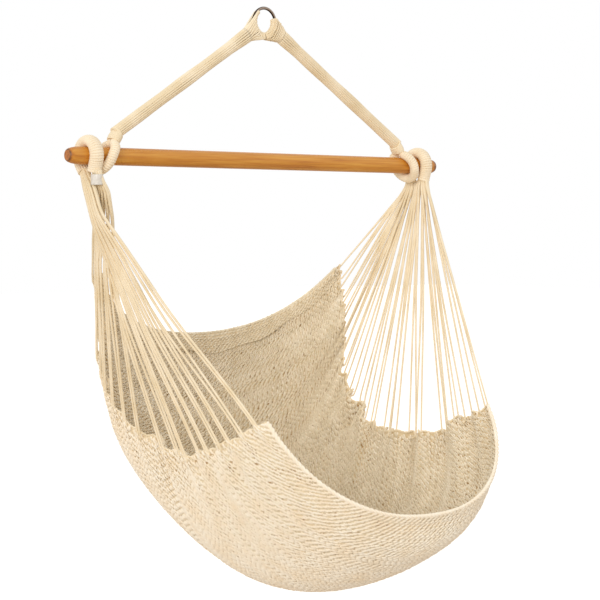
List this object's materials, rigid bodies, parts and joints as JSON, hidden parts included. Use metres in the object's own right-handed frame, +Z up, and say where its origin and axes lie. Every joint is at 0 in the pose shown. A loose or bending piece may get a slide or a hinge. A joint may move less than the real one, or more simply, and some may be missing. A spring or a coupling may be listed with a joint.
{
  "type": "hammock chair",
  "caption": "Hanging chair: a woven cotton bed carried by two fans of cords on a wooden spreader bar, which hangs by two cord legs from a steel ring.",
  "frame": {"origin": "hang point, on the inside of the ring at its top, where a hook bears", "axes": "+Z up, X along the spreader bar, the chair faces -Y"},
  "size_m": [1.067, 0.7956, 1.2939],
  "materials": {
    "ring_steel": "dark bronze-brown plated round wire",
    "bar_wood": "honey varnished hardwood, satin gloss",
    "crochet_cotton": "natural cotton strands folded over the ring, matt",
    "leg_cotton": "bundle of parallel natural cotton strands, matt",
    "whipped_cotton": "close whipping of fine cotton cord, matt",
    "cotton_cord": "soft twisted natural cotton cord, matt",
    "woven_cotton": "dense diamond weave of soft natural cotton, matt",
    "clear_tape": "plain pale translucent tape"
  },
  "bodies": {
    "ring": {"hang_ring": "ring_steel"},
    "suspension": {"ring_eye_left": "crochet_cotton", "ring_eye_right": "crochet_cotton", "suspension_leg_left": "leg_cotton", "suspension_leg_right": "leg_cotton", "seizing_left": "whipped_cotton", "seizing_right": "whipped_cotton", "bar_loop_left": "whipped_cotton", "bar_loop_right": "whipped_cotton"},
    "bar": {"spreader_bar": "bar_wood"},
    "seat": {"woven_bed": "woven_cotton", "back_hem": "woven_cotton", "front_edge_cord": "cotton_cord", "hammock_eye_left": "whipped_cotton", "hammock_eye_right": "whipped_cotton", "neck_band_left": "clear_tape", "arm_cord_left_01": "cotton_cord", "arm_cord_left_02": "cotton_cord", "arm_cord_left_03": "cotton_cord", "arm_cord_left_04": "cotton_cord", "arm_cord_left_05": "cotton_cord", "arm_cord_left_06": "cotton_cord", "arm_cord_left_07": "cotton_cord", "arm_cord_left_08": "cotton_cord", "arm_cord_left_09": "cotton_cord", "arm_cord_left_10": "cotton_cord", "arm_cord_left_11": "cotton_cord", "arm_cord_left_12": "cotton_cord", "arm_cord_left_13": "cotton_cord", "arm_cord_left_14": "cotton_cord", "arm_cord_left_15": "cotton_cord", "arm_cord_left_16": "cotton_cord", "arm_cord_left_17": "cotton_cord", "arm_cord_left_18": "cotton_cord", "arm_cord_left_19": "cotton_cord", "arm_cord_left_20": "cotton_cord", "arm_cord_right_01": "cotton_cord", "arm_cord_right_02": "cotton_cord", "arm_cord_right_03": "cotton_cord", "arm_cord_right_04": "cotton_cord", "arm_cord_right_05": "cotton_cord", "arm_cord_right_06": "cotton_cord", "arm_cord_right_07": "cotton_cord", "arm_cord_right_08": "cotton_cord", "arm_cord_right_09": "cotton_cord", "arm_cord_right_10": "cotton_cord", "arm_cord_right_11": "cotton_cord", "arm_cord_right_12": "cotton_cord", "arm_cord_right_13": "cotton_cord", "arm_cord_right_14": "cotton_cord", "arm_cord_right_15": "cotton_cord", "arm_cord_right_16": "cotton_cord", "arm_cord_right_17": "cotton_cord", "arm_cord_right_18": "cotton_cord", "arm_cord_right_19": "cotton_cord", "arm_cord_right_20": "cotton_cord"}
  },
  "joints": [
    {"name": "sway_on_ring", "type": "hinge", "parent": "ring", "child": "suspension", "pos_m": [0, 0, -0.028], "axis": [0, 1, 0], "range_deg": [-12, 12]},
    {"name": "bar_roll", "type": "hinge", "parent": "suspension", "child": "bar", "pos_m": [0, 0, -0.344], "axis": [1, 0, 0], "continuous": true},
    {"name": "seat_swing", "type": "hinge", "parent": "suspension", "child": "seat", "pos_m": [0, 0, -0.344], "axis": [1, 0, 0], "range_deg": [-30, 30]}
  ]
}
